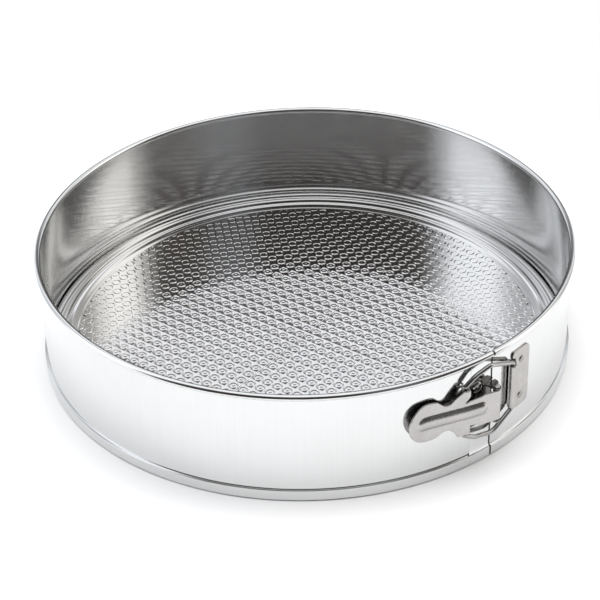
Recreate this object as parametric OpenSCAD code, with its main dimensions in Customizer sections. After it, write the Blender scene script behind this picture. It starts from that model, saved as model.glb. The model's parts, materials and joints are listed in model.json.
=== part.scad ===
// Springform cake pan: removable base, sprung side ring and an over-centre wire clasp.
// Millimetres. +Z is up, z = 0 is the table, the axis of the pan is the Z axis.
// The two ends of the ring meet at x = 0 on the -Y side, where the clasp is.

/* [Pan] */
// Inside diameter of the side ring
inner_d = 280; // [200:1:320]
// Overall height
pan_h = 63.5; // [55:0.5:90]
// Thickness of the ring sheet
sheet_t = 0.4; // [0.3:0.05:0.6]
// Gap between the two ends of the ring
seam_gap = 1.2; // [0.8:0.1:2]

/* [Rim] */
// Outside diameter of the rolled rim
rim_d = 3.2; // [2.6:0.1:4]
// Diameter of the wire inside the rolled rim
rim_wire_d = 2.3; // [1.6:0.1:2.3]

/* [Foot] */
// How far the foot bead stands out from the wall
foot_out = 1.2; // [0.8:0.1:1.8]
// Height of the foot bead's shoulder
foot_h = 6.4; // [5:0.1:9]
// How far the lip under the base reaches inwards
lip_in = 1.6; // [1:0.1:2.5]

/* [Base] */
// Thickness of the base sheet
base_t = 0.5; // [0.4:0.05:0.8]
// Height of the flange that sits in the foot bead
flange_z = 3.2; // [2.6:0.1:4]
// Height of the raised ring round the baking surface
ring_z = 4.6; // [3.8:0.1:6]
// Height of the baking surface
field_z = 3.9; // [3.2:0.1:5]
// Radius of the baking surface
field_r = 126.8; // [80:0.1:146]

/* [Clasp] */
// Height of the middle of the clasp above the table
clasp_z = 37.0; // [30:0.1:50]
// Distance of the lever pivot from the ring wall
pivot_h = 6.1; // [5.6:0.1:6.6]
// Diameter of the lever pivot pin
pin_d = 2.0; // [1.6:0.1:2.2]
// Diameter of the bail wire
wire_d = 2.4; // [2:0.1:2.5]
// Radius of the lever's thumb disc
thumb_r = 11.2; // [9:0.1:12]
// Thickness of the lever sheet
lever_t = 1.0; // [0.8:0.05:1.2]
// Thickness of the bracket and keeper sheet
plate_t = 0.9; // [0.7:0.05:1.1]

/* [Hidden] */
$fn = 96;

wall_in = inner_d / 2;
shell_r = wall_in + sheet_t;
rim_r = rim_d / 2;
rim_c = shell_r + 0.25;
rim_z = pan_h - rim_r;
foot_r = shell_r + foot_out;
base_r = foot_r - sheet_t - 0.4;
back_gap = 0.4;
fit = 0.05;
bond = 0.02;

side_gap = 0.35;
pivot_x = -2.0;
barrel_r = pin_d / 2 + lever_t;
web_top = 8.0;
web_low = -9.7;
shoulder_z = 13.2;
thumb_x = -38.4;
thumb_z = 0.5;
hook_x = -18.6;
hook_h = 1.4;
rib_out = 1.2;

knuckle_x = 13.0;
knuckle_h = 1.8;
knuckle_r = wire_d / 2 + plate_t;
knuckle_z = 12.5;
keeper_z = 17.5;
arm_z = knuckle_z + side_gap + wire_d / 2;
peak_x = -3.9;
peak_h = 3.4;
peak_z = 21.6;
neck_x = -13.4;
neck_h = 2.6;
neck_z = 19.2;
hook_z = shoulder_z + side_gap + wire_d / 2;

ear_gap = 0.3;
ear_tip_r = 2.1;
plate_z = 13.4;
rivet_x = -9.9;
rivet_z = 9.7;
rivet_r = 1.5;
pip_x = 21.4;
pip_z = 11.0;
pip_r = 1.0;

steel = [0.80, 0.79, 0.77];
tin = [0.86, 0.87, 0.88];

// A point s mm along the tangent at the seam and h mm outside the ring wall
function at(s, h) = [s, -(shell_r + h)];
// Height of the curved ring wall over the tangent line at s
function wall(s) = sqrt(shell_r * shell_r - s * s) - shell_r;

// ---- side ring ----

module wall_profile() {
  in_r = foot_r - sheet_t - 0.05;
  lip_r = foot_r - foot_out - lip_in - sheet_t;
  polygon([[shell_r, rim_z - 1.3], [shell_r, foot_h], [foot_r, foot_h - foot_out],
           [foot_r, 0.7], [foot_r - 0.7, 0], [lip_r, 0], [lip_r, 0.45],
           [in_r - 0.45, 0.45], [in_r, 0.9], [in_r, foot_h - foot_out - 0.2],
           [wall_in, foot_h - 0.2], [wall_in, rim_z - 1.3]]);
}

module half_turn(side) {
  seam = asin(seam_gap / 2 / shell_r);
  back = asin(back_gap / 2 / shell_r);
  mirror([side < 0 ? 1 : 0, 0, 0])
    rotate([0, 0, -90 + seam])
      rotate_extrude(angle = 180 - seam - back, $fn = 240)
        children();
}

module half_band(side) {
  difference() {
    union() {
      half_turn(side) wall_profile();
      half_turn(side) translate([rim_c, rim_z]) circle(r = rim_r);
    }
    half_turn(side) translate([rim_c, rim_z]) circle(r = rim_wire_d / 2 + fit);
  }
}

module rivet_bore(x, z, r) {
  rotate([0, 0, asin(x / shell_r)])
    translate([0, -wall_in + 5, clasp_z + z])
      rotate([90, 0, 0])
        cylinder(h = 10, r = r);
}

module band_left() {
  color(tin)
    difference() {
      half_band(-1);
      for (z = [-rivet_z, rivet_z]) rivet_bore(rivet_x, z, rivet_r + fit);
    }
}

module band_right() {
  color(tin)
    difference() {
      half_band(1);
      for (z = [-pip_z, pip_z]) rivet_bore(pip_x, z, pip_r + fit);
    }
}

module rim_wire(side) {
  color(steel)
    half_turn(side)
      translate([rim_c, rim_z])
        circle(r = rim_wire_d / 2);
}

module rim_wire_left() {
  rim_wire(-1);
}

module rim_wire_right() {
  rim_wire(1);
}

// ---- removable base ----

module base_plate() {
  t = base_t;
  color(tin)
    rotate_extrude($fn = 240)
      polygon([[0, field_z - t], [field_r + 0.2, field_z - t], [field_r + 1.4, ring_z - t],
               [field_r + 3.6, ring_z - t], [field_r + 5.4, ring_z - t - 0.6],
               [field_r + 7.2, ring_z - t], [wall_in - 3.4, ring_z - t],
               [wall_in - 2.4, flange_z - t], [base_r - t, flange_z - t],
               [base_r - t, 0.8], [base_r, 0.8], [base_r, flange_z - 0.3],
               [base_r - 0.3, flange_z], [wall_in - 2.2, flange_z],
               [wall_in - 3.2, ring_z], [field_r + 7.4, ring_z],
               [field_r + 5.4, ring_z - 0.6], [field_r + 3.4, ring_z],
               [field_r + 1.2, ring_z], [field_r, field_z], [0, field_z]]);
}

// ---- clasp plates on the ring ----

module rounded_rect(x0, x1, z0, z1, r) {
  translate([x0 + r, z0]) square([x1 - x0 - 2 * r, z1 - z0]);
  translate([x0, z0 + r]) square([x1 - x0, z1 - z0 - 2 * r]);
  for (x = [x0 + r, x1 - r], z = [z0 + r, z1 - r]) translate([x, z]) circle(r = r);
}

// A flat outline in x and z, pushed outwards through the front of the ring
module pushed_out() {
  translate([0, -shell_r + 30, clasp_z])
    rotate([90, 0, 0])
      linear_extrude(height = 60)
        children();
}

// The same outline wrapped onto the ring wall as curved sheet
module curved_sheet(thick) {
  intersection() {
    rotate([0, 0, -110])
      rotate_extrude(angle = 40, $fn = 240)
        translate([shell_r + bond, 0])
          square([thick - bond, pan_h]);
    pushed_out() children();
  }
}

module upright(z0, z1) {
  translate([0, 0, clasp_z + z0])
    linear_extrude(height = z1 - z0)
      children();
}

// One ear of the bracket: a fin that stands on the wall and carries the pin at its tip
module bracket_ear() {
  difference() {
    union() {
      translate(at(pivot_x, pivot_h)) circle(r = ear_tip_r);
      polygon([at(-7.2, wall(-7.2) + bond), at(-6.4, plate_t), at(-4.9, 1.6),
               at(-4.1, pivot_h), at(-0.1, pivot_h), at(1.2, 3.2), at(1.8, 0.7),
               at(-1.2, 0.7), at(-1.2, bond)]);
    }
    translate(at(pivot_x, pivot_h)) circle(r = pin_d / 2 + fit);
  }
}

module hinge_bracket() {
  top = web_top + ear_gap;
  low = web_low - ear_gap;
  color(steel)
    union() {
      difference() {
        curved_sheet(plate_t)
          union() {
            rounded_rect(-16.2, -6.4, -plate_z, plate_z, 2);
            translate([-8, low - plate_t]) square([6.8, top - low + 2 * plate_t]);
          }
        for (z = [-rivet_z, rivet_z]) rivet_bore(rivet_x, z, rivet_r + fit);
      }
      upright(top, top + plate_t) bracket_ear();
      upright(low - plate_t, low) bracket_ear();
    }
}

module rivet(x, z, r, head) {
  out = shell_r + plate_t;
  rotate([0, 0, asin(x / shell_r)])
    translate([0, 0, clasp_z + z])
      rotate([90, 0, 0]) {
        translate([0, 0, out + bond]) cylinder(h = 0.55, r1 = head, r2 = head - 0.7);
        translate([0, 0, wall_in - 0.45]) cylinder(h = out - wall_in + 0.6, r = r);
        translate([0, 0, wall_in - 0.55]) cylinder(h = 0.5, r1 = head - 0.9, r2 = head - 0.5);
      }
}

module bracket_rivets() {
  color(steel)
    for (z = [-rivet_z, rivet_z]) rivet(rivet_x, z, rivet_r, 2.9);
}

module pivot_pin() {
  head_h = 0.7;
  low = web_low - ear_gap - plate_t - bond;
  top = web_top + ear_gap + plate_t + bond;
  color(steel)
    translate([pivot_x, -(shell_r + pivot_h), clasp_z]) {
      translate([0, 0, low - 0.5]) cylinder(h = top - low + 1, r = pin_d / 2);
      for (z = [low - head_h, top])
        translate([0, 0, z]) cylinder(h = head_h, r = 1.55);
    }
}

module keeper_knuckle() {
  difference() {
    union() {
      translate(at(knuckle_x, knuckle_h)) circle(r = knuckle_r);
      polygon([at(knuckle_x, wall(knuckle_x) + bond), at(knuckle_x, plate_t - 0.2),
               at(16.5, wall(16.5) + plate_t), at(16.5, wall(16.5) + bond)]);
    }
    translate(at(knuckle_x, knuckle_h)) circle(r = wire_d / 2 + fit);
  }
}

module keeper() {
  color(steel)
    union() {
      difference() {
        curved_sheet(plate_t) rounded_rect(14.5, 28.2, -keeper_z, keeper_z, 3);
        for (z = [-pip_z, pip_z]) rivet_bore(pip_x, z, pip_r + fit);
      }
      upright(-knuckle_z, knuckle_z) keeper_knuckle();
    }
}

module keeper_rivets() {
  color(steel)
    for (z = [-pip_z, pip_z]) rivet(pip_x, z, pip_r, 1.9);
}

// ---- lever ----

// Corners of the bent lever sheet, off mm below its outer face
function lever_path(off) = [at(pivot_x, pivot_h + barrel_r - off), at(-18.5, 3.7 - off),
                            at(-40, -3.6 - off), at(-50.4, -4.4 - off)];

module lever_strip(outer, inner) {
  far = lever_path(inner);
  polygon(concat(lever_path(outer), [for (i = [3:-1:0]) far[i]]));
}

module lever_layer(outer, inner) {
  intersection() {
    upright(-20, 20) lever_strip(outer, inner);
    pushed_out() children();
  }
}

module lever_outline() {
  difference() {
    union() {
      translate([thumb_x, thumb_z]) circle(r = thumb_r);
      polygon([[thumb_x, thumb_z - thumb_r], [-36, -10.2], [-31.2, -7.5], [-28, -7.5],
               [-25, -10.3], [-23.7, -shoulder_z], [-17.4, -shoulder_z],
               [-17.4, web_low], [pivot_x, web_low], [pivot_x, web_top], [-17.4, web_top],
               [-17.4, shoulder_z], [-21.2, shoulder_z], [-25, 10.4], [-28, 7.6],
               [-31.2, 7.8], [-36, 11], [thumb_x, thumb_z + thumb_r]]);
    }
    polygon([[-20.4, 6.3], [-17.3, 9.2], [-17.3, 7.1]]);
    polygon([[-17.5, web_low - 0.1], [-17.5, -8], [-13.6, -8.8], [-12, web_low - 0.1]]);
  }
}

// The tongue at each shoulder that is bent inwards and takes a hook of the bail
module hook_tab() {
  difference() {
    union() {
      translate(at(hook_x, hook_h)) circle(r = 2.2);
      polygon([at(hook_x - 2.2, hook_h), at(-21.2, 2.4), at(-17.4, 3.6), at(hook_x + 2.2, hook_h)]);
    }
    translate(at(hook_x, hook_h)) circle(r = 1.3);
  }
}

// The long stiffening rib, pressed outwards
module rib(grow) {
  rounded_rect(-44.4 - grow, -8.4 + grow, -3.3 - grow, 4.1 + grow, 3.6 + grow);
}

module lever() {
  color(steel)
    difference() {
      union() {
        lever_layer(0, lever_t) lever_outline();
        lever_layer(-rib_out, 0.2) rib(0);
        upright(web_low, web_top) translate(at(pivot_x, pivot_h)) circle(r = barrel_r);
        upright(shoulder_z - lever_t, shoulder_z) hook_tab();
        upright(-shoulder_z, -shoulder_z + lever_t) hook_tab();
      }
      lever_layer(lever_t - rib_out, lever_t + 1) rib(-0.7);
      upright(-20, 20) translate(at(pivot_x, pivot_h)) circle(r = pin_d / 2 + fit);
    }
}

// ---- bail wire ----

function rod_point(s, h, z) = [s, -(shell_r + h), clasp_z + z];

module rod(a, b) {
  d = b - a;
  len = norm(d);
  translate(a)
    rotate([0, acos(d[2] / len), atan2(d[1], d[0])])
      cylinder(h = len, r = wire_d / 2);
  translate(b) sphere(r = wire_d / 2 + 0.05);
}

module bail_arm(m) {
  corner = rod_point(knuckle_x, knuckle_h, m * arm_z);
  peak = rod_point(peak_x, peak_h, m * peak_z);
  neck = rod_point(neck_x, neck_h, m * neck_z);
  rod(rod_point(knuckle_x, knuckle_h, 0), corner);
  rod(corner, peak);
  rod(peak, neck);
  rod(neck, rod_point(hook_x, hook_h, m * hook_z));
}

module bail() {
  color(steel)
    for (m = [-1, 1]) bail_arm(m);
}

base_plate();
band_left();
band_right();
rim_wire_left();
rim_wire_right();
hinge_bracket();
bracket_rivets();
pivot_pin();
lever();
bail();
keeper();
keeper_rivets();
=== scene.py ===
import json
import math
import bpy
import bmesh
from mathutils import Matrix, Vector
from mathutils.geometry import delaunay_2d_cdt

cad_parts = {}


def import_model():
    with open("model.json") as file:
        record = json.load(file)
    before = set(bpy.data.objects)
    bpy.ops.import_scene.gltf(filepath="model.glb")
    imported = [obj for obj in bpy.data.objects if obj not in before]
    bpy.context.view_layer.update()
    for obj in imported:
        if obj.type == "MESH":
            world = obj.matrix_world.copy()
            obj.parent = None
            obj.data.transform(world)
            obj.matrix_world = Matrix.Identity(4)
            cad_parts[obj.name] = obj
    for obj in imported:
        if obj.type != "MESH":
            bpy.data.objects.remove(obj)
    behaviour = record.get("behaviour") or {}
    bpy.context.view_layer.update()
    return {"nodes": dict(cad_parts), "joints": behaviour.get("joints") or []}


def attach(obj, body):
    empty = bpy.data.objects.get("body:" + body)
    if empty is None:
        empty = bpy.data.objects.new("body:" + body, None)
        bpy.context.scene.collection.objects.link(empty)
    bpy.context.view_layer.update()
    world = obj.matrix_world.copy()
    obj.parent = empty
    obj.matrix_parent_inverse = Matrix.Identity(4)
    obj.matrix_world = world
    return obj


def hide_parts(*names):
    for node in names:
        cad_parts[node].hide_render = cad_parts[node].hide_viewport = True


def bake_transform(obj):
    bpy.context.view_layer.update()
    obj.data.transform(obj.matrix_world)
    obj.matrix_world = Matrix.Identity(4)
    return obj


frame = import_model()
MM = 0.001


def joint_place(name):
    """Where a joint of the frame is, in millimetres."""
    joint = next(j for j in frame["joints"] if j["name"] == name)
    return [v / MM for v in joint["pos_m"]]


# ---- sizes, in millimetres and degrees ----

# Ring: radii and heights of the wall, the rolled rim and the foot bead; then the sheet and the inner lip
WALL_IN, WALL_OUT = 140.0, 140.4
RIM_R, RIM_Z, BEAD_R, WIRE_HOLE = 140.65, 61.9, 1.6, 1.2
FOOT_R, FOOT_H, STEP_Z = 141.6, 6.4, 5.7
SHEET_T = 0.45
LIP_R = 138.4
# Seam between the ring's ends, and the slit left open in it by the near-black fill of painted shade; the
# hem's reach and how it stands out
SEAM_GAP, EDGE_GAP = 1.2, 0.12
HEM_TURN, HEM_OUT = 5.4, 0.07
# Base: heights of the embossed field, of the pressed rings and of the flange; then its edge and sheet
FIELD_Z, RING_Z, FLANGE_Z = 3.8, 4.6, 3.2
BASE_R, BASE_T = 140.8, 0.5
# Pips: their grid, relief and radii, the rings of their mesh above and below, the sheet between them,
# and where the pressed ring cuts them off
PIP_PITCH, PIP_TURN = 6.4, 13.2
PIP_RISE, PIP_DISH, PIP_GROOVE = 0.07, 0.10, 0.44
PIP_TOP_R, PIP_GROOVE_R, PIP_FOOT_R = 2.0, 2.32, 2.64
PIP_RINGS = (0.8, 1.45, 1.88, 2.04, 2.18, 2.32, 2.46, 2.6, 2.76)
PIP_RINGS_BELOW = (1.2, 1.95, 2.32, 2.76)
CORNER_LIFT, SADDLE_DIP = 0.02, 0.12
PIP_EDGE, PIP_FADE = 124.3, 1.5
# Clasp: places are (along the tangent at the seam, out from the wall), and heights are from CLASP_Z
PIN_PLACE, BAIL_PLACE = joint_place("lever_pivot"), joint_place("bail_swing")
CLASP_Z = PIN_PLACE[2]
PIVOT = (PIN_PLACE[0], -PIN_PLACE[1] - WALL_OUT)
KNUCKLE = (BAIL_PLACE[0], -BAIL_PLACE[1] - WALL_OUT)
HOOK = (-18.6, 1.4)
PIN_R, WIRE_R, LEVER_T, PLATE_T = 1.0, 1.2, 1.0, 0.9
BARREL_R, KNUCKLE_R = PIN_R + LEVER_T, WIRE_R + PLATE_T
WEB_TOP, WEB_LOW, SHOULDER = 8.0, -9.7, 13.2
KNUCKLE_HALF, SIDE_GAP, PLATE_LIFT = 12.5, 0.35, 0.02
# Thumb disc: along, height, radius. Rib: from, to, height and half width, and how far it stands out
THUMB = (-38.4, 0.5, 11.2)
RIB, RIB_OUT = (-40.8, -12.0, 0.4, 3.8), 1.3
# Camera: its direction, distance, height angle, aim and lens, and three small turns
VIEW_AZ = math.radians(39.4)
VIEW_DISTANCE, VIEW_HIGH, VIEW_AIM_Z, VIEW_LENS = 1058.0, 35.008, 0.8, 116.32
VIEW_YAW, VIEW_PITCH, VIEW_ROLL = 0.1705, 0.9610, 1.4056
# Table and lamp, in metres and watts
TABLE_R, TABLE_DROP = 0.30, 0.0003
LAMP_SIZE, LAMP_HIGH, LAMP_WATTS = 2.4, 2.2, 42
# Light round the studio: degrees from the camera's side, brightness and tint
COOL, WARM, BROWN = (0.97, 0.99, 1.03), (1.02, 1.0, 0.97), (1.12, 1.0, 0.90)
PANELS = [(-180, 1.2, COOL), (-140, 1.2, COOL), (-128, 0.85, COOL), (-117, 0.75, COOL),
          (-107, 1.1, COOL), (-97, 1.8, COOL), (-74, 1.7, COOL), (-66, 0.7, COOL),
          (-57, 0.065, BROWN), (-20, 0.05, BROWN), (18, 0.055, BROWN), (28, 0.18, COOL),
          (42, 0.19, COOL), (50, 0.085, BROWN), (72, 0.085, BROWN), (80, 0.7, WARM),
          (87, 1.7, WARM), (100, 1.8, WARM), (111, 1.3, WARM), (119, 0.6, WARM),
          (130, 0.65, WARM), (145, 1.2, COOL), (180, 1.2, COOL)]
OVERHEAD, LOW_BEHIND = (1.25, 1.26, 1.28), (0.13, 0.125, 0.12)
# Where the overhead light comes in and the low one goes out, as the sine of the height angle
OVERHEAD_FADE, LOW_FADE = (0.80, 0.92), (0.553, 0.575)


# ---- mesh helpers ----

def mesh_object(name, verts, faces):
    """A smooth-shaded object from millimetre points."""
    me = bpy.data.meshes.new(name)
    me.from_pydata([(x * MM, y * MM, z * MM) for x, y, z in verts], [], faces)
    me.validate()
    me.polygons.foreach_set("use_smooth", [True] * len(me.polygons))
    ob = bpy.data.objects.new(name, me)
    bpy.context.scene.collection.objects.link(ob)
    return ob


def tidy(ob, sharp=40, merge=0.0):
    """Outward normals, and a crease wherever two faces meet at more than sharp degrees."""
    bm = bmesh.new()
    bm.from_mesh(ob.data)
    if merge:
        bmesh.ops.remove_doubles(bm, verts=bm.verts, dist=merge * MM)
    bmesh.ops.recalc_face_normals(bm, faces=bm.faces)
    limit = math.radians(sharp)
    for e in bm.edges:
        if len(e.link_faces) == 2:
            e.smooth = e.calc_face_angle(0) < limit
    bm.to_mesh(ob.data)
    bm.free()
    return ob


def join(name, objs):
    """Several meshes as one piece."""
    bm = bmesh.new()
    for ob in objs:
        bm.from_mesh(ob.data)
    me = bpy.data.meshes.new(name)
    bm.to_mesh(me)
    bm.free()
    for ob in objs:
        bpy.data.objects.remove(ob)
    out = bpy.data.objects.new(name, me)
    bpy.context.scene.collection.objects.link(out)
    return out


def arc(cx, cy, r, a0, a1, n):
    """n + 1 points along an arc, angles in degrees."""
    turn = [math.radians(a0 + (a1 - a0) * i / n) for i in range(n + 1)]
    return [(cx + r * math.cos(a), cy + r * math.sin(a)) for a in turn]


def rounded(points, n=6):
    """A closed outline from corners (x, y, radius), with each corner turned into an arc."""
    out = []
    count = len(points)
    for i, (x, y, r) in enumerate(points):
        p = Vector((x, y))
        a = Vector(points[i - 1][:2]) - p
        b = Vector(points[(i + 1) % count][:2]) - p
        half = a.angle(b) / 2
        if r <= 0 or half > math.radians(89.5):
            out.append((x, y))
            continue
        cut = min(r / math.tan(half), a.length * 0.49, b.length * 0.49)
        r = cut * math.tan(half)
        mid = p + (a.normalized() + b.normalized()).normalized() * (r / math.sin(half))
        start, end = p + a.normalized() * cut, p + b.normalized() * cut
        a0 = math.atan2(start.y - mid.y, start.x - mid.x)
        a1 = math.atan2(end.y - mid.y, end.x - mid.x)
        turn = (a1 - a0 + math.pi) % (2 * math.pi) - math.pi
        for k in range(n + 1):
            t = a0 + turn * k / n
            out.append((mid.x + r * math.cos(t), mid.y + r * math.sin(t)))
    return out


def dense(outline, step):
    """The same closed outline with no side longer than step."""
    out = []
    for i, p in enumerate(outline):
        q = outline[(i + 1) % len(outline)]
        n = max(1, math.ceil(math.dist(p, q) / step))
        out += [(p[0] + (q[0] - p[0]) * k / n, p[1] + (q[1] - p[1]) * k / n) for k in range(n)]
    return [p for i, p in enumerate(out) if math.dist(p, out[i - 1]) > 0.02]


def inside(p, outline):
    """Whether a point lies in a closed outline."""
    hit = False
    for i, a in enumerate(outline):
        b = outline[i - 1]
        if (a[1] > p[1]) != (b[1] > p[1]):
            if p[0] < (b[0] - a[0]) * (p[1] - a[1]) / (b[1] - a[1]) + a[0]:
                hit = not hit
    return hit


def shrink(outline, d):
    """Moves a closed counter-clockwise outline inwards by d."""
    out = []
    for i, p in enumerate(outline):
        a, b = outline[i - 1], outline[(i + 1) % len(outline)]
        e0, e1 = Vector(p) - Vector(a), Vector(b) - Vector(p)
        n0 = Vector((-e0.y, e0.x)).normalized()
        n1 = Vector((-e1.y, e1.x)).normalized()
        n = n0 + n1
        n = n.normalized() if n.length > 1e-6 else n0
        k = min(1.6, 1 / max(0.3, n.dot(n0)))
        out.append((p[0] + n.x * d * k, p[1] + n.y * d * k))
    return out


def sheet(name, outline, place, thick, step=0.8, edge=0.25, holes=(), relief=None):
    """A pressed sheet: the outline in (u, v), its two faces set out by place(u, v, depth)."""
    loops = [dense(outline, step)] + [list(reversed(dense(h, step * 0.7))) for h in holes]
    angles = [math.radians(a) for a in (0, 30, 60, 90)]
    ring_pts, drops = [], []
    for a in angles:
        ring_pts.append([shrink(loop, edge * (1 - math.cos(a))) for loop in loops])
        drops.append(edge * (1 - math.sin(a)))
    inner = ring_pts[-1]
    flat, edges = [], []
    for loop in inner:
        first = len(flat)
        flat += loop
        edges += [(first + i, first + (i + 1) % len(loop)) for i in range(len(loop))]
    xs = [p[0] for p in inner[0]]
    ys = [p[1] for p in inner[0]]
    rows = math.ceil((max(ys) - min(ys)) / step)
    keep = shrink(inner[0], step * 0.45)
    keep_holes = [shrink(h, step * 0.45) for h in inner[1:]]
    for j in range(rows + 1):
        y = min(ys) + j * step
        x = min(xs) + (step / 2 if j % 2 else 0)
        while x < max(xs):
            if inside((x, y), keep) and not any(inside((x, y), h) for h in keep_holes):
                flat.append((x, y))
            x += step
    cut = delaunay_2d_cdt([Vector(p) for p in flat], edges, [], 0, 1e-5)
    now = {old: new for new, olds in enumerate(cut[3]) for old in olds}
    flat = [(p.x, p.y) for p in cut[0]]
    tris = []
    for f in cut[2]:
        cx = sum(flat[i][0] for i in f) / 3
        cy = sum(flat[i][1] for i in f) / 3
        if inside((cx, cy), inner[0]) and not any(inside((cx, cy), h) for h in inner[1:]):
            tris.append(list(f))
    verts, faces = [], []

    def depth(p):
        return relief(p[0], p[1]) if relief else 0.0

    for side in (0, 1):
        first = len(verts)
        for p in flat:
            d = depth(p)
            verts.append(place(p[0], p[1], d if side == 0 else thick + d))
        for t in tris:
            faces.append([first + i for i in (t if side == 0 else reversed(t))])
    start = 0
    for k, loop in enumerate(inner):
        n = len(loop)
        border = [now[start + i] for i in range(n)]
        strips = [border]
        for ring, drop in reversed(list(zip(ring_pts[:-1], drops[:-1]))):
            first = len(verts)
            verts += [place(p[0], p[1], drop + depth(p)) for p in ring[k]]
            strips.append(list(range(first, first + n)))
        for ring, drop in zip(ring_pts[:-1], drops[:-1]):
            first = len(verts)
            verts += [place(p[0], p[1], thick - drop + depth(p)) for p in ring[k]]
            strips.append(list(range(first, first + n)))
        strips.append([len(flat) + i for i in border])
        for s0, s1 in zip(strips[:-1], strips[1:]):
            for i in range(n):
                m = (i + 1) % n
                faces.append((s0[i], s1[i], s1[m], s0[m]))
        start += n
    return tidy(mesh_object(name, verts, faces), 60)


def revolve(name, loops, a0, a1, steps, caps=(False, False)):
    """Closed (radius, z) loops turned about Z between two angles in degrees; 0 is +X."""
    full = abs(a1 - a0) > 359.9
    verts, faces = [], []
    for loop in loops:
        first, n = len(verts), len(loop)
        count = steps if full else steps + 1
        for i in range(count):
            a = math.radians(a0 + (a1 - a0) * i / steps)
            verts += [(r * math.cos(a), r * math.sin(a), z) for r, z in loop]
        for i in range(steps):
            p, q = first + i * n, first + ((i + 1) % count) * n
            for k in range(n):
                m = (k + 1) % n
                faces.append((p + k, q + k, q + m, p + m))
        if caps[0]:
            faces.append([first + k for k in range(n)])
        if caps[1]:
            faces.append([first + steps * n + k for k in reversed(range(n))])
    return mesh_object(name, verts, faces)


def tube(name, path, radius, sides=20):
    """A round wire with domed ends along corners (point, bend radius)."""
    pts = []
    for i, (p, r) in enumerate(path):
        p = Vector(p)
        if i in (0, len(path) - 1) or r <= 0:
            pts.append(p)
            continue
        a, b = Vector(path[i - 1][0]) - p, Vector(path[i + 1][0]) - p
        cut = min(r / math.tan(a.angle(b) / 2), a.length * 0.48, b.length * 0.48)
        s, e = p + a.normalized() * cut, p + b.normalized() * cut
        for k in range(11):
            t = k / 10
            pts.append(s * (1 - t) ** 2 + p * 2 * t * (1 - t) + e * t ** 2)
    tans = []
    for i in range(len(pts)):
        tans.append((pts[min(i + 1, len(pts) - 1)] - pts[max(i - 1, 0)]).normalized())
    side = tans[0].orthogonal().normalized()
    rings = []
    for i, (p, t) in enumerate(zip(pts, tans)):
        side = (side - t * side.dot(t)).normalized()
        up = t.cross(side)
        rings.append((p, side.copy(), up, t, radius))
    for end, sign in ((0, -1), (-1, 1)):
        p, s, u, t, _ = rings[end]
        for a in (25, 50, 72):
            a = math.radians(a)
            new = (p + t * sign * radius * math.sin(a), s, u, t, radius * math.cos(a))
            if end == 0:
                rings.insert(0, new)
            else:
                rings.append(new)
    verts, faces = [], []
    for p, s, u, t, r in rings:
        for k in range(sides):
            a = 2 * math.pi * k / sides
            verts.append(p + s * r * math.cos(a) + u * r * math.sin(a))
    for i in range(len(rings) - 1):
        for k in range(sides):
            m = (k + 1) % sides
            faces.append((i * sides + k, i * sides + m, (i + 1) * sides + m, (i + 1) * sides + k))
    faces.append(list(reversed(range(sides))))
    faces.append([(len(rings) - 1) * sides + k for k in range(sides)])
    return tidy(mesh_object(name, [tuple(v) for v in verts], faces), 60)


def at(s, h, z):
    """A point s along the tangent at the seam, h outside the wall, z above the clasp's middle."""
    return (s, -(WALL_OUT + h), CLASP_Z + z)


def wall(s):
    """Height of the curved wall over that tangent."""
    return math.sqrt(WALL_OUT ** 2 - s * s) - WALL_OUT


# ---- camera ----

def camera():
    """Aimed at the pan's axis from VIEW_AZ, then turned a little so that the pan sits in the frame."""
    e = math.radians(VIEW_HIGH)
    back = Vector((-math.sin(VIEW_AZ), -math.cos(VIEW_AZ), 0))
    rise = VIEW_DISTANCE * math.sin(e) + VIEW_AIM_Z
    pos = back * VIEW_DISTANCE * math.cos(e) + Vector((0, 0, rise))
    fwd = -(back * math.cos(e) + Vector((0, 0, math.sin(e))))
    right = fwd.cross(Vector((0, 0, 1))).normalized()
    up = right.cross(fwd)
    m = Matrix.Rotation(math.radians(VIEW_YAW), 3, up)
    fwd, right = m @ fwd, m @ right
    m = Matrix.Rotation(math.radians(VIEW_PITCH), 3, right)
    fwd, up = m @ fwd, m @ up
    m = Matrix.Rotation(math.radians(VIEW_ROLL), 3, fwd)
    right, up = m @ right, m @ up
    cam = bpy.data.objects.new("camera", bpy.data.cameras.new("camera"))
    cam.matrix_world = Matrix.Translation(pos * MM) @ Matrix((right, up, -fwd)).transposed().to_4x4()
    cam.data.sensor_width = 36
    cam.data.lens = VIEW_LENS
    cam.data.clip_start = 0.01
    cam.data.clip_end = 50
    bpy.context.scene.collection.objects.link(cam)
    bpy.context.scene.camera = cam


# ---- materials ----

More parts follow.
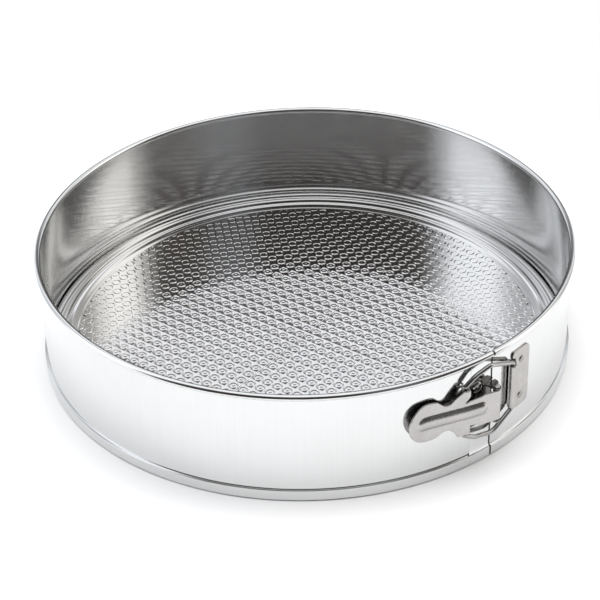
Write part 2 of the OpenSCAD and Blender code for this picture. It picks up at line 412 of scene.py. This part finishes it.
class Tree:
    """Short names for building a node tree."""

    def __init__(self, tree):
        self.tree = tree

    def add(self, kind, **props):
        n = self.tree.nodes.new(kind)
        for k, v in props.items():
            setattr(n, k, v)
        return n

    def link(self, a, b):
        self.tree.links.new(a, b)

    def calc(self, op, a, b):
        n = self.add("ShaderNodeMath", operation=op)
        for i, v in enumerate((a, b)):
            if isinstance(v, (int, float)):
                n.inputs[i].default_value = v
            else:
                self.link(v, n.inputs[i])
        return n.outputs[0]

    def noise(self, vector, scale, detail=3, rough=0.55, stretch=None):
        if stretch:
            m = self.add("ShaderNodeMapping")
            m.inputs["Scale"].default_value = stretch
            self.link(vector, m.inputs["Vector"])
            vector = m.outputs[0]
        n = self.add("ShaderNodeTexNoise")
        n.inputs["Scale"].default_value = scale
        n.inputs["Detail"].default_value = detail
        n.inputs["Roughness"].default_value = rough
        self.link(vector, n.inputs["Vector"])
        return n.outputs["Fac"]

    def ramp(self, fac, stops):
        r = self.add("ShaderNodeValToRGB")
        self.link(fac, r.inputs["Fac"])
        cr = r.color_ramp
        cr.elements[0].position, cr.elements[0].color = stops[0][0], (*stops[0][1], 1)
        cr.elements[1].position, cr.elements[1].color = stops[-1][0], (*stops[-1][1], 1)
        for pos, col in stops[1:-1]:
            cr.elements.new(pos).color = (*col, 1)
        return r.outputs["Color"]


def metal(name, color, rough, aniso=0.0, grain=900, stretch=None, mottle=30, dull=0.08,
          rough_vary=0.05, bump=0.0, specks=0.0):
    """Metal sheet: fine grain, cloudy tarnish, small specks, and a relief from the grain."""
    mat = bpy.data.materials.new(name)
    mat.use_nodes = True
    t = Tree(mat.node_tree)
    shader = mat.node_tree.nodes["Principled BSDF"]
    shader.inputs["Metallic"].default_value = 1.0
    shader.inputs["Anisotropic"].default_value = aniso
    where = t.add("ShaderNodeTexCoord").outputs["Object"]
    fine = t.noise(where, grain, 3, 0.6, stretch)
    cloud = t.noise(where, mottle, 4, 0.6)
    both = t.calc("ADD", t.calc("MULTIPLY", fine, 0.45), t.calc("MULTIPLY", cloud, 0.55))
    dark = tuple(c * (1 - dull) for c in color)
    tone = t.ramp(both, [(0.36, dark), (0.6, color)])
    if specks:
        dots = t.noise(where, 1400, 2, 0.5)
        mask = t.ramp(dots, [(0.70, (1, 1, 1)), (0.76, (1 - specks,) * 3)])
        mix = t.add("ShaderNodeMix", data_type="RGBA", blend_type="MULTIPLY")
        mix.inputs["Factor"].default_value = 1.0
        t.link(tone, mix.inputs["A"])
        t.link(mask, mix.inputs["B"])
        tone = mix.outputs["Result"]
    t.link(tone, shader.inputs["Base Color"])
    vary = t.calc("MULTIPLY", t.calc("SUBTRACT", both, 0.5), rough_vary * 4)
    t.link(t.calc("ADD", vary, rough), shader.inputs["Roughness"])
    if aniso:
        tangent = t.add("ShaderNodeTangent", direction_type="RADIAL", axis="Z")
        t.link(tangent.outputs[0], shader.inputs["Tangent"])
    if bump:
        b = t.add("ShaderNodeBump")
        b.inputs["Distance"].default_value = bump * MM
        t.link(fine, b.inputs["Height"])
        t.link(b.outputs[0], shader.inputs["Normal"])
    return mat


RING_TIN = metal("ring_tinplate", (0.715, 0.72, 0.72), 0.11, aniso=0.7, grain=700,
                 stretch=(1, 1, 0.03), dull=0.04, rough_vary=0.02, mottle=18)
BASE_TIN = metal("base_tinplate", (0.70, 0.695, 0.69), 0.035, dull=0.05, rough_vary=0.015)
# Near-black fill of the seam between the ring's ends: painted shade for the dark gap there, not the colour
# of the steel
SEAM_SHADE = metal("seam_painted_shade", (0.05, 0.048, 0.045), 0.4, grain=1500, dull=0.3)
PLATE_STEEL = metal("clasp_steel", (0.50, 0.485, 0.47), 0.27, grain=1500, mottle=90, dull=0.2,
                    stretch=(1, 1, 0.12), bump=0.012, specks=0.25)
# Painted shade: the bracket is the same steel as the keeper, painted far darker to stand in for the shade
# under the lever
BRACKET_SHADED_STEEL = metal("bracket_steel_painted_shade", (0.16, 0.155, 0.15), 0.2, grain=1500, mottle=90, dull=0.25,
                      bump=0.01, specks=0.2)
LEVER_STEEL = metal("lever_steel", (0.50, 0.485, 0.475), 0.26, grain=1300, mottle=110, dull=0.16,
                    bump=0.008, specks=0.3)
WIRE_STEEL = metal("wire_steel", (0.38, 0.375, 0.37), 0.13, grain=1200, dull=0.15)
RIVET_STEEL = metal("rivet_steel", (0.36, 0.35, 0.34), 0.16, grain=1500, dull=0.25, bump=0.02)


def finish_piece(ob, mat, body=None, replaces=()):
    """Gives a piece its material and slot, the body it rides on and the CAD nodes it stands for."""
    ob.data.materials.clear()
    ob.data.materials.append(mat)
    if body:
        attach(ob, body)
    if replaces:
        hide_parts(*replaces)
    return ob


# ---- side ring ----

def ring_section():
    """The ring sheet: outside from the foot up, then down the inside to the lip."""
    out = [(LIP_R, 0.0)] + arc(FOOT_R - 0.9, 0.9, 0.9, -90, 0, 7)
    out += [(FOOT_R, 2.4), (FOOT_R, 4.3)]
    out += arc(FOOT_R - 0.15, STEP_Z + 0.15, 0.15, 0, 90, 5)
    out += list(reversed(arc(WALL_OUT + 0.12, STEP_Z + 0.4, 0.12, 180, 266, 5)))
    out += [(WALL_OUT, z) for z in (10, 18, 26, 34, 42, 50, 57, RIM_Z - 1.35)]
    out += [(WALL_IN, z) for z in (RIM_Z - 1.2, 57, 50, 42, 34, 26, 18, 10)]
    out += [(WALL_IN, FOOT_H - 0.2), (FOOT_R - 0.6, STEP_Z - 0.2), (FOOT_R - 0.42, STEP_Z - 0.5)]
    out += [(FOOT_R - 0.42, 1.0), (FOOT_R - 0.9, SHEET_T), (LIP_R, SHEET_T)]
    return out


def rim_section():
    """The edge rolled outwards round its wire, open where it comes back to the wall."""
    outer = arc(RIM_R, RIM_Z, BEAD_R, 244, -98, 40)
    return outer + arc(RIM_R, RIM_Z, WIRE_HOLE, -98, 244, 24)


def hem_section():
    """The strip folded back over the left end of the ring, which softens the foot's step."""
    foot, top = FOOT_R + HEM_OUT, WALL_OUT + HEM_OUT
    skin = [(foot, 1.0), (foot, 4.2), (FOOT_R - 0.1, 5.2), (WALL_OUT + 0.5, FOOT_H),
            (WALL_OUT + 0.12, 7.6), (top, 12), (top, 36), (top, 59)]
    return skin + [(r - 0.1, z) for r, z in reversed(skin)]


def side_ring():
    """Each half as a front quarter that rides on it and a back quarter that blends into the base."""
    seam = math.degrees(math.asin(SEAM_GAP / 2 / WALL_OUT))
    touch = math.degrees(math.asin(EDGE_GAP / 2 / WALL_OUT))
    for side, half in ((-1, "left"), (1, "right")):
        body = "ring_" + half
        loops = [ring_section(), rim_section()]
        front = revolve(body + "_front", loops, -90 + side * seam, -90 + side * 90, 180, (True, False))
        finish_piece(tidy(front, 50), RING_TIN, body, ("band_" + half,))
        rear = revolve(body + "_back", loops, -90 + side * 90, -90 + side * 180, 180)
        finish_piece(tidy(rear, 50), RING_TIN)
        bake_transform(rear)
        # Near-black sheets fill the seam up to a thin slit in its middle: painted shade for the dark gap
        # between the ring's ends
        cut = revolve(body + "_edge", [ring_section()], -90 + side * touch, -90 + side * seam, 2,
                      (True, True))
        finish_piece(tidy(cut, 50), SEAM_SHADE, body)
    hem = revolve("ring_hem", [hem_section()], -90 - HEM_TURN, -90 - seam, 12, (True, True))
    finish_piece(tidy(hem, 50), RING_TIN, "ring_left")


def wires():
    """The rim's wire and the clasp's pin keep their CAD shape and get their steel."""
    for node in ("rim_wire_left", "rim_wire_right", "pivot_pin"):
        mesh = frame["nodes"][node].data
        mesh.materials.clear()
        mesh.materials.append(WIRE_STEEL)


# ---- base ----

def smooth(a, b, x):
    """0 below a, 1 above b, and an even curve between."""
    t = min(1.0, max(0.0, (x - a) / (b - a)))
    return t * t * (3 - 2 * t)


def pip_height(r):
    """A pip by distance from its middle: a dished crown inside a sharp ring-shaped groove."""
    crown = PIP_RISE * (1 - smooth(1.6, PIP_TOP_R, r)) - PIP_DISH * (1 - smooth(0, 1.5, r))
    groove = smooth(PIP_TOP_R, PIP_GROOVE_R, r) * (1 - smooth(PIP_GROOVE_R, PIP_FOOT_R, r))
    return crown - PIP_GROOVE * groove


def field_mesh(name, half_steps, rings, drop, keep):
    """Square cells with a round pip in each, cut off at the pressed ring.

    Their corners are slightly proud, and the sheet dips between neighbours in one direction. The pip's
    rings have 8 * half_steps points, and keep(i, j) says which cells are made.
    """
    turn = math.radians(PIP_TURN)
    c, s = math.cos(turn), math.sin(turn)
    around = 8 * half_steps
    verts, shared, faces = [], {}, []

    def add(u, v, z):
        reach = math.hypot(u, v)
        cut = min(1.0, PIP_EDGE / max(reach, 1e-6))
        z *= 1 - smooth(PIP_EDGE - PIP_FADE, PIP_EDGE, reach)
        verts.append(((u * c - v * s) * cut, (u * s + v * c) * cut, FIELD_Z + z - drop))
        return len(verts) - 1

    def border(i, j):
        if (i, j) not in shared:
            z = 0 if j % 2 == 0 else CORNER_LIFT if i % 2 else -SADDLE_DIP
            shared[i, j] = add(i * PIP_PITCH / 2, j * PIP_PITCH / 2, z)
        return shared[i, j]

    n = int(PIP_EDGE / PIP_PITCH) + 1
    for i in range(-n, n + 1):
        for j in range(-n, n + 1):
            u, v = i * PIP_PITCH, j * PIP_PITCH
            if math.hypot(u, v) > PIP_EDGE + PIP_PITCH / 2 or not keep(i, j):
                continue
            corners = [border(2 * i + a, 2 * j + b) for a, b in
                       ((1, 0), (1, 1), (0, 1), (-1, 1), (-1, 0), (-1, -1), (0, -1), (1, -1))]
            middle = add(u, v, pip_height(0))
            loops = []
            for r in rings:
                turns = [2 * math.pi * k / around for k in range(around)]
                loops.append([add(u + r * math.cos(t), v + r * math.sin(t), pip_height(r)) for t in turns])
            for k in range(around):
                m = (k + 1) % around
                faces.append((middle, loops[0][k], loops[0][m]))
                faces += [(low[k], top[k], top[m], low[m]) for low, top in zip(loops[:-1], loops[1:])]
                near = corners[(k + half_steps // 2) // half_steps % 8]
                far = corners[(k + 1 + half_steps // 2) // half_steps % 8]
                faces.append((loops[-1][k], near, loops[-1][m]))
                if far != near:
                    faces.append((near, far, loops[-1][m]))
    ob = mesh_object(name, verts, faces)
    bm = bmesh.new()
    bm.from_mesh(ob.data)
    bmesh.ops.remove_doubles(bm, verts=bm.verts, dist=0.01 * MM)
    bmesh.ops.dissolve_degenerate(bm, edges=bm.edges, dist=0.01 * MM)
    if drop:
        bmesh.ops.reverse_faces(bm, faces=bm.faces)
    bm.to_mesh(ob.data)
    bm.free()
    return ob


def base_plate():
    """The embossed field in four quarters, its underside, and the pressed rings with the flange and lip."""
    quarters = {"a": (1, 1), "b": (-1, 1), "c": (-1, -1), "d": (1, -1)}
    for tag, (sx, sy) in quarters.items():
        ob = field_mesh("base_field_" + tag, 2, PIP_RINGS, 0,
                        lambda i, j: (i >= 0) == (sx > 0) and (j >= 0) == (sy > 0))
        finish_piece(ob, BASE_TIN, "base")
    below = field_mesh("base_underside", 1, PIP_RINGS_BELOW, BASE_T, lambda i, j: True)
    finish_piece(below, BASE_TIN, "base")
    ridges = [(124.2, FIELD_Z), (126.3, 4.2), (128.8, FIELD_Z), (131.4, RING_Z), (133.7, 4.05),
              (136.0, RING_Z), (137.5, FLANGE_Z + 0.1), (139.2, FLANGE_Z + 0.5), (140.4, FLANGE_Z)]
    top = []
    for (r0, z0), (r1, z1) in zip(ridges[:-1], ridges[1:]):
        top += [(r0 + (r1 - r0) * k / 8, z0 + (z1 - z0) * smooth(0, 8, k)) for k in range(8)]
    top += [(140.4, FLANGE_Z), (BASE_R - 0.1, FLANGE_Z - 0.1), (BASE_R, FLANGE_Z - 0.35), (BASE_R, 0.8)]
    low = [(BASE_R - BASE_T, 0.8), (BASE_R - BASE_T, 2.7), (137.5, 2.7), (136.2, 4.1), (135.6, 4.1),
           (133.5, 3.5), (131.4, 4.1), (128.8, 3.3), (126.3, 3.7), (124.2, 3.3)]
    rim = revolve("base_rim", [top + low], 0, 360, 480)
    finish_piece(tidy(rim, 40), BASE_TIN, "base", ("base_plate",))


# ---- clasp ----

def on_wall(s, z, depth):
    """Sheet wrapped on the wall."""
    a = math.asin(s / WALL_OUT)
    r = WALL_OUT + PLATE_LIFT + PLATE_T - depth
    return (r * math.sin(a), -r * math.cos(a), CLASP_Z + z)


def path_point(points, u, depth):
    """The point u along a polyline from its first corner, depth below its left side."""
    left = u
    for a, b in zip(points[:-1], points[1:]):
        length = math.dist(a, b)
        if left <= length or b is points[-1]:
            t = left / length
            tx, ty = (b[0] - a[0]) / length, (b[1] - a[1]) / length
            return (a[0] + (b[0] - a[0]) * t + ty * depth, a[1] + (b[1] - a[1]) * t - tx * depth)
        left -= length


def bracket():
    """A plate on the wall, and two thin ears that stand out from it and carry the pin."""
    top, low = WEB_TOP + 0.3, WEB_LOW - 0.3
    plate = sheet("plate", rounded([(-16.2, -13.4, 2), (-6.4, -13.4, 2), (-6.4, low - PLATE_T, 0.6),
                                    (-1.2, low - PLATE_T, 0.4), (-1.2, top + PLATE_T, 0.4),
                                    (-6.4, top + PLATE_T, 0.6), (-6.4, 13.4, 2), (-16.2, 13.4, 2)]),
                  on_wall, PLATE_T, 0.9, 0.2)
    fin = rounded([(-6.6, 0.3, 0.3), (2.0, 0.72, 0.3), (1.9, 2.6, 2), (0.7, 5.0, 2)])
    fin += arc(PIVOT[0], PIVOT[1], 2.1, 0, 180, 16) + [(-4.5, 3.6), (-4.9, 1.9), (-5.6, 1.2)]
    ears = []
    for z0 in (top + PLATE_T, low):
        ears.append(sheet("ear", fin, lambda u, v, d, z0=z0: at(u, v, z0 - d), PLATE_T, 0.6, 0.2,
                          holes=[arc(PIVOT[0], PIVOT[1], PIN_R + 0.05, 0, 352, 24)]))
    ob = join("clasp_bracket", [plate] + ears)
    # The bracket's steel is painted dark: painted shade under the lever
    finish_piece(tidy(ob, 60), BRACKET_SHADED_STEEL, "ring_left", ("hinge_bracket",))


def rib_depth(s, z):
    """The long rib pressed outwards, round in section, with a soft crease round its foot."""
    x = min(max(s, RIB[0]), RIB[1])
    d = math.hypot(s - x, z - RIB[2]) / RIB[3]
    crown = math.sqrt(1.35 - min(d, 1.0) ** 2) - math.sqrt(0.35)
    foot = 0.05 * max(0.0, 1 - abs(d - 1.12) / 0.14)
    return foot - RIB_OUT * crown / (math.sqrt(1.35) - math.sqrt(0.35))


def lever():
    """A plate bent along its length and rolled round the pin, with two tongues at its shoulders."""
    corners = [(PIVOT[0], PIVOT[1] + BARREL_R), (-18.5, 3.7), (-40, -3.6), (-50.4, -4.4)]
    bends = rounded([(corners[0][0], corners[0][1], 0)] + [(x, y, 25) for x, y in corners[1:3]]
                    + [(*corners[3], 0), (-50.4, 60, 0), (40, 60, 0)], 10)
    outer = [p for p in bends if p[1] < 20][::-1]
    run = outer + arc(PIVOT[0], PIVOT[1], BARREL_R, 90, -190, 40)[1:]
    start = [0.0]
    for a, b in zip(run[:-1], run[1:]):
        start.append(start[-1] + math.dist(a, b))
    flat_len = start[len(outer) - 1]
    total = start[-1]

    def along(s):
        if s > PIVOT[0]:
            return flat_len + (s - PIVOT[0])
        for i in range(len(outer) - 1):
            if outer[i][0] <= s <= outer[i + 1][0]:
                t = (s - outer[i][0]) / (outer[i + 1][0] - outer[i][0])
                return start[i] + t * (start[i + 1] - start[i])
        return s - outer[0][0]

    def place(s, z, depth):
        x, h = path_point(run, along(s), depth)
        return at(x, h, z)

    end = PIVOT[0] + total - flat_len - 0.1
    cx, cz, r = THUMB
    disc = arc(cx, cz, r, 66, 294, 60)
    low = [(-30.6, -7.4, 3), (-28.0, -7.5, 3), (-25.0, -10.2, 2.5), (-23.8, -SHOULDER, 1.2),
           (-17.4, -SHOULDER, 0.7), (-17.4, -7.9, 0.3), (-13.6, -8.7, 0.6), (-12.2, WEB_LOW, 1),
           (end, WEB_LOW, 0)]
    top = [(end, WEB_TOP, 0), (-9.8, WEB_TOP + 0.1, 2), (-12.0, 7.4, 2), (-17.3, 7.0, 0.6),
           (-20.3, 6.2, 0.15), (-17.4, 9.4, 0.6), (-17.4, SHOULDER, 0.7), (-21.2, SHOULDER, 1.4),
           (-25.0, 10.5, 2.5), (-28.0, 7.6, 3), (-30.6, 7.7, 3)]
    outline = rounded([(x, y, 0) for x, y in disc] + low + top)
    body = sheet("body", outline, place, LEVER_T, 0.55, 0.3, relief=rib_depth)
    tongues = []
    tongue = [(-21.2, 2.3)] + arc(*HOOK, 2.2, 180, 360, 18) + [(-17.4, 3.5)]
    for side in (-1, 1):
        tongues.append(sheet("tongue", tongue, lambda u, v, d, k=side: at(u, v, k * (SHOULDER - d)),
                             LEVER_T, 0.6, 0.25, holes=[arc(*HOOK, 1.3, 0, 352, 24)]))
    ob = join("clasp_lever", [body] + tongues)
    finish_piece(tidy(ob, 60), LEVER_STEEL, "lever", ("lever",))


def keeper():
    """A plate on the wall whose edge is rolled into the knuckle, with a short notch at each end of it."""
    kx, kh = KNUCKLE
    half = KNUCKLE_HALF
    edge_s = 17.4
    foot = (edge_s, wall(edge_s) + PLATE_T + PLATE_LIFT)
    gap = math.dist(foot, KNUCKLE)
    lean = math.degrees(math.atan2(foot[1] - kh, foot[0] - kx) + math.acos(KNUCKLE_R / gap))
    roll = arc(kx, kh, KNUCKLE_R, lean, lean + 300, 44)
    line = [foot] + roll
    total = sum(math.dist(a, b) for a, b in zip(line[:-1], line[1:]))

    def place(s, z, depth):
        flat = on_wall(s, z, depth)
        if s >= edge_s:
            return flat
        x, h = path_point(line, edge_s - s, -depth)
        free = smooth(half, half + 0.9, abs(z))
        return tuple(Vector(at(x, h, z)).lerp(Vector(flat), free))

    k = edge_s - total + 0.1
    outline = rounded([(28.2, -17.5, 3), (28.2, 17.5, 3), (14.5, 17.5, 3), (14.5, half + 1.6, 0.3),
                       (16.4, half + 1.2, 0.5), (16.4, half, 0.4), (k, half, 0), (k, -half, 0),
                       (16.4, -half, 0.4), (16.4, -half - 1.2, 0.5), (14.5, -half - 1.6, 0.3),
                       (14.5, -17.5, 3)])
    ob = sheet("clasp_keeper", outline, place, PLATE_T, 0.7, 0.22)
    finish_piece(ob, PLATE_STEEL, "ring_right", ("keeper",))


def bail():
    """One bent wire: through the knuckle, round above and below, and in to the lever's tongues."""
    arm = KNUCKLE_HALF + SIDE_GAP + WIRE_R
    hook = SHOULDER + SIDE_GAP + WIRE_R
    upper = [((*HOOK, hook), 0), ((-13.4, 2.6, 19.2), 12), ((-3.9, 3.4, 21.6), 5), ((*KNUCKLE, arm), 2.2)]
    lower = [((*HOOK, -hook), 0), ((-12.6, 2.3, -18.3), 12), ((-0.6, 3.0, -20.6), 8),
             ((*KNUCKLE, -arm), 2.2)]
    path = [(at(*p), r) for p, r in upper + lower[::-1]]
    ob = tube("clasp_bail", path, WIRE_R, 24)
    finish_piece(ob, WIRE_STEEL, "bail", ("bail",))


def rivets(name, node, body, s, z, shank, head, dome):
    """A pair of set rivets: a domed head outside and a flat one on the inner wall."""
    out, inn = WALL_OUT + PLATE_T + PLATE_LIFT, WALL_IN - PLATE_LIFT
    section = [(0.001, out + dome), (head * 0.3, out + dome), (head * 0.42, out + dome * 0.8),
               (head * 0.6, out + dome * 0.92), (head * 0.85, out + dome * 0.6), (head, out + 0.12),
               (head, out), (shank, out), (shank, inn), (head * 0.75, inn), (head * 0.72, inn - 0.25),
               (head * 0.4, inn - 0.42), (0.001, inn - 0.45)]
    objs = []
    for side in (-1, 1):
        one = revolve("rivet", [section], 0, 360, 36)
        spin = Matrix.Rotation(math.asin(s / WALL_OUT), 4, "Z") @ Matrix.Rotation(math.radians(90), 4, "X")
        one.data.transform(Matrix.Translation((0, 0, (CLASP_Z + side * z) * MM)) @ spin)
        objs.append(one)
    ob = join(name, objs)
    finish_piece(tidy(ob, 50, 0.01), RIVET_STEEL, body, (node,))


# ---- floor and light ----

def world():
    """A studio seen by direction: dim behind the camera, soft panels at the sides, white overhead.

    PANELS gives the light all round, LOW_BEHIND dims it low down opposite the camera, and OVERHEAD
    takes over towards the zenith. The camera itself sees a plain white backdrop.
    """
    scene = bpy.context.scene
    scene.world = bpy.data.worlds.new("studio")
    scene.world.use_nodes = True
    scene.world.node_tree.nodes.clear()
    t = Tree(scene.world.node_tree)
    turn = t.add("ShaderNodeVectorRotate", rotation_type="Z_AXIS")
    turn.inputs["Angle"].default_value = VIEW_AZ + math.pi / 2
    t.link(t.add("ShaderNodeTexCoord").outputs["Generated"], turn.inputs["Vector"])
    xyz = t.add("ShaderNodeSeparateXYZ")
    t.link(turn.outputs[0], xyz.inputs[0])
    angle = t.calc("ARCTAN2", xyz.outputs["Y"], xyz.outputs["X"])
    place = t.calc("ADD", t.calc("DIVIDE", angle, 2 * math.pi), 0.5)
    colors = [((d + 180) / 360, tuple(level * c for c in tint)) for d, level, tint in PANELS]
    side = t.ramp(place, colors)
    behind = t.ramp(place, [(0.05, (1, 1, 1)), (0.10, (0, 0, 0)), (0.90, (0, 0, 0)), (0.95, (1, 1, 1))])
    below = t.ramp(xyz.outputs["Z"], [(LOW_FADE[0], (1, 1, 1)), (LOW_FADE[1], (0, 0, 0))])
    shade = t.add("ShaderNodeMix", data_type="RGBA")
    t.link(t.calc("MULTIPLY", behind, below), shade.inputs["Factor"])
    t.link(side, shade.inputs["A"])
    shade.inputs["B"].default_value = (*LOW_BEHIND, 1)
    side = shade.outputs["Result"]
    up = t.ramp(xyz.outputs["Z"], [(OVERHEAD_FADE[0], (0, 0, 0)), (OVERHEAD_FADE[1], (1, 1, 1))])
    mix = t.add("ShaderNodeMix", data_type="RGBA")
    t.link(up, mix.inputs["Factor"])
    t.link(side, mix.inputs["A"])
    mix.inputs["B"].default_value = (*OVERHEAD, 1)
    lit = t.add("ShaderNodeBackground")
    t.link(mix.outputs["Result"], lit.inputs["Color"])
    pale = t.add("ShaderNodeBackground")
    pale.inputs["Color"].default_value = (1, 1, 1, 1)
    choose = t.add("ShaderNodeMixShader")
    t.link(t.add("ShaderNodeLightPath").outputs["Is Camera Ray"], choose.inputs["Fac"])
    t.link(lit.outputs[0], choose.inputs[1])
    t.link(pale.outputs[0], choose.inputs[2])
    t.link(choose.outputs[0], t.add("ShaderNodeOutputWorld").inputs["Surface"])


def floor():
    """A round white table, and a soft lamp over it that the metal doesn't mirror."""
    bm = bmesh.new()
    bmesh.ops.create_circle(bm, cap_ends=True, segments=96, radius=TABLE_R)
    me = bpy.data.meshes.new("floor")
    bm.to_mesh(me)
    bm.free()
    ob = bpy.data.objects.new("floor", me)
    ob.location.z = -TABLE_DROP
    bpy.context.scene.collection.objects.link(ob)
    mat = bpy.data.materials.new("floor")
    mat.use_nodes = True
    shader = mat.node_tree.nodes["Principled BSDF"]
    shader.inputs["Base Color"].default_value = (0.94, 0.94, 0.94, 1)
    shader.inputs["Roughness"].default_value = 1.0
    shader.inputs["Specular IOR Level"].default_value = 0.0
    me.materials.append(mat)
    lamp = bpy.data.lights.new("overhead", "AREA")
    lamp.size = LAMP_SIZE
    lamp.energy = LAMP_WATTS
    top = bpy.data.objects.new("overhead", lamp)
    top.location = (0, 0, LAMP_HIGH)
    top.visible_glossy = False
    bpy.context.scene.collection.objects.link(top)


camera()
side_ring()
base_plate()
bracket()
lever()
keeper()
bail()
rivets("clasp_rivets", "bracket_rivets", "ring_left", s=-9.9, z=9.7, shank=1.5, head=2.9, dome=0.75)
rivets("keeper_pips", "keeper_rivets", "ring_right", s=21.4, z=11.0, shank=1.0, head=1.9, dome=0.6)
wires()
world()
floor()
bpy.context.scene.view_settings.view_transform = "Standard"
bpy.context.scene.view_settings.look = "None"
